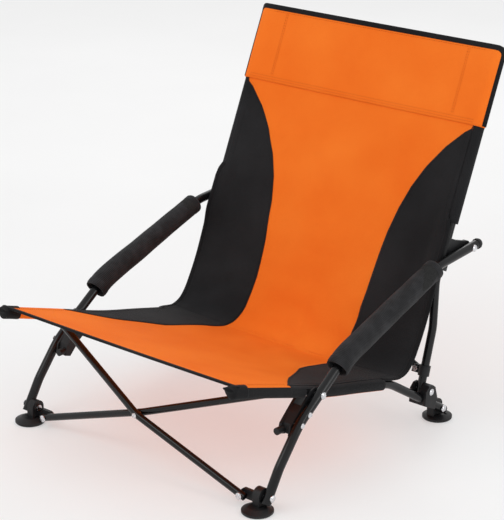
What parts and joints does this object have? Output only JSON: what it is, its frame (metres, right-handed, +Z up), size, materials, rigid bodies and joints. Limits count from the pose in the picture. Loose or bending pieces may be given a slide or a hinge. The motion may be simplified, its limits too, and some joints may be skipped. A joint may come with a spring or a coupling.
{
  "type": "folding camp chair",
  "caption": "Low folding camp chair: a bent tube frame with scissor braces, padded armrests, round feet and a fabric sling for seat and back.",
  "frame": {"origin": "on the floor, under the middle of the chair's box", "axes": "+Z up, the chair faces -Y, +X is the sitter's left"},
  "size_m": [0.585, 0.6996, 0.6357],
  "materials": {
    "black_tube": "glossy black powder coat",
    "bright_steel": "bright plated steel",
    "black_bolt": "black oxide steel",
    "black_cover": "ribbed black woven cover",
    "foam": "closed-cell foam",
    "orange_fabric": "plain woven polyester",
    "black_fabric": "plain woven polyester",
    "black_plastic": "moulded nylon"
  },
  "bodies": {
    "post_left": {"back_post_left": "black_tube", "post_top_cap_left": "black_plastic", "brace_clamp_left": "black_plastic", "back_brace_bolt_left": "black_bolt", "head_pocket_left": "orange_fabric", "back_panel": "orange_fabric", "head_panel": "orange_fabric"},
    "rail_left": {"seat_rail_left": "black_tube", "rail_front_cap_left": "black_plastic", "rail_sleeve_left": "orange_fabric", "rear_foot_left": "black_plastic", "rear_foot_bolt_left": "black_bolt", "post_bracket_left": "black_plastic", "post_pivot_pin_left": "black_bolt", "seat_panel": "orange_fabric"},
    "leg_left": {"leg_arm_tube_left": "black_tube", "arm_cover_left": "black_cover", "arm_foam_left": "foam", "arm_end_cap_left": "black_plastic", "arm_pin_left": "black_bolt", "front_foot_left": "black_plastic", "front_foot_bolt_left": "black_bolt", "rail_bracket_left": "black_plastic", "bracket_rivets_left": "bright_steel", "rail_pivot_pin_left": "black_bolt", "front_brace_bolt_left": "black_bolt"},
    "collar_left": {"slide_collar_left": "black_plastic"},
    "post_right": {"back_post_right": "black_tube", "post_top_cap_right": "black_plastic", "brace_clamp_right": "black_plastic", "back_brace_bolt_right": "black_bolt", "head_pocket_right": "orange_fabric"},
    "rail_right": {"seat_rail_right": "black_tube", "rail_front_cap_right": "black_plastic", "rail_sleeve_right": "orange_fabric", "rear_foot_right": "black_plastic", "rear_foot_bolt_right": "black_bolt", "post_bracket_right": "black_plastic", "post_pivot_pin_right": "black_bolt"},
    "leg_right": {"leg_arm_tube_right": "black_tube", "arm_cover_right": "black_cover", "arm_foam_right": "foam", "arm_end_cap_right": "black_plastic", "arm_pin_right": "black_bolt", "front_foot_right": "black_plastic", "front_foot_bolt_right": "black_bolt", "rail_bracket_right": "black_plastic", "bracket_rivets_right": "bright_steel", "rail_pivot_pin_right": "black_bolt", "front_brace_bolt_right": "black_bolt"},
    "collar_right": {"slide_collar_right": "black_plastic"},
    "front_brace_a": {"front_brace_a": "black_tube", "front_brace_a_cap": "black_plastic", "front_brace_rivet": "bright_steel"},
    "front_brace_b": {"front_brace_b": "black_tube", "front_brace_b_cap": "black_plastic"},
    "back_brace_a": {"back_brace_a": "black_tube", "back_brace_rivet": "bright_steel"},
    "back_brace_b": {"back_brace_b": "black_tube"}
  },
  "joints": [
    {"name": "seat_rail_left_hinge", "type": "hinge", "parent": "post_left", "child": "rail_left", "pos_m": [0.254, 0.14073, 0.066], "axis": [-1, 0, 0], "range_deg": [0, 48.2]},
    {"name": "leg_left_hinge", "type": "hinge", "parent": "rail_left", "child": "leg_left", "pos_m": [0.254, -0.15927, 0.1595], "axis": [1, 0, 0], "range_deg": [0, 61.82]},
    {"name": "fold", "type": "hinge", "parent": "leg_left", "child": "front_brace_a", "pos_m": [0.224, -0.29027, 0.017], "axis": [0, 1, 0], "range_deg": [0, 64.14], "deforming": ["seat_panel", "back_panel", "head_panel", "head_pocket_left", "head_pocket_right"]},
    {"name": "front_brace_crossing", "type": "hinge", "parent": "front_brace_a", "child": "front_brace_b", "pos_m": [0, -0.28727, 0.09], "axis": [0, -1, 0], "range_deg": [0, 128.35]},
    {"name": "front_brace_foot_right", "type": "hinge", "parent": "front_brace_b", "child": "leg_right", "pos_m": [-0.224, -0.29027, 0.017], "axis": [0, 1, 0], "range_deg": [0, 64.18]},
    {"name": "leg_right_hinge", "type": "hinge", "parent": "leg_right", "child": "rail_right", "pos_m": [-0.254, -0.15927, 0.1595], "axis": [-1, 0, 0], "range_deg": [0, 61.82]},
    {"name": "seat_rail_right_hinge", "type": "hinge", "parent": "rail_right", "child": "post_right", "pos_m": [-0.254, 0.14073, 0.066], "axis": [1, 0, 0], "range_deg": [0, 48.2]},
    {"name": "collar_left_slide", "type": "slide", "parent": "post_left", "child": "collar_left", "axis": [0, 0.4035, 0.915], "range_m": [0, 0.31064]},
    {"name": "collar_right_slide", "type": "slide", "parent": "post_right", "child": "collar_right", "axis": [0, 0.4035, 0.915], "range_m": [0, 0.31064]},
    {"name": "back_brace_foot", "type": "hinge", "parent": "post_left", "child": "back_brace_a", "pos_m": [0.237, 0.15912, 0.09384], "axis": [-0.0551, 0.9389, -0.3396], "range_deg": [0, 57.51]},
    {"name": "back_brace_crossing", "type": "hinge", "parent": "back_brace_a", "child": "back_brace_b", "pos_m": [0, 0.18573, 0.1885], "axis": [0, -0.9502, 0.3116], "range_deg": [0, 114.82]}
  ],
  "couplings": [
    {"joint": "seat_rail_left_hinge", "follows": "fold", "ratio": 0.75102},
    {"joint": "leg_left_hinge", "follows": "fold", "ratio": 0.96335},
    {"joint": "front_brace_crossing", "follows": "fold", "ratio": 2},
    {"joint": "front_brace_foot_right", "follows": "fold", "ratio": 1},
    {"joint": "leg_right_hinge", "follows": "fold", "ratio": 0.96335},
    {"joint": "seat_rail_right_hinge", "follows": "fold", "ratio": 0.75102},
    {"joint": "collar_left_slide", "follows": "fold", "m_per_rad": 0.27734},
    {"joint": "collar_right_slide", "follows": "fold", "m_per_rad": 0.27734},
    {"joint": "back_brace_foot", "follows": "fold", "ratio": 0.89611},
    {"joint": "back_brace_crossing", "follows": "fold", "ratio": 1.7892}
  ]
}
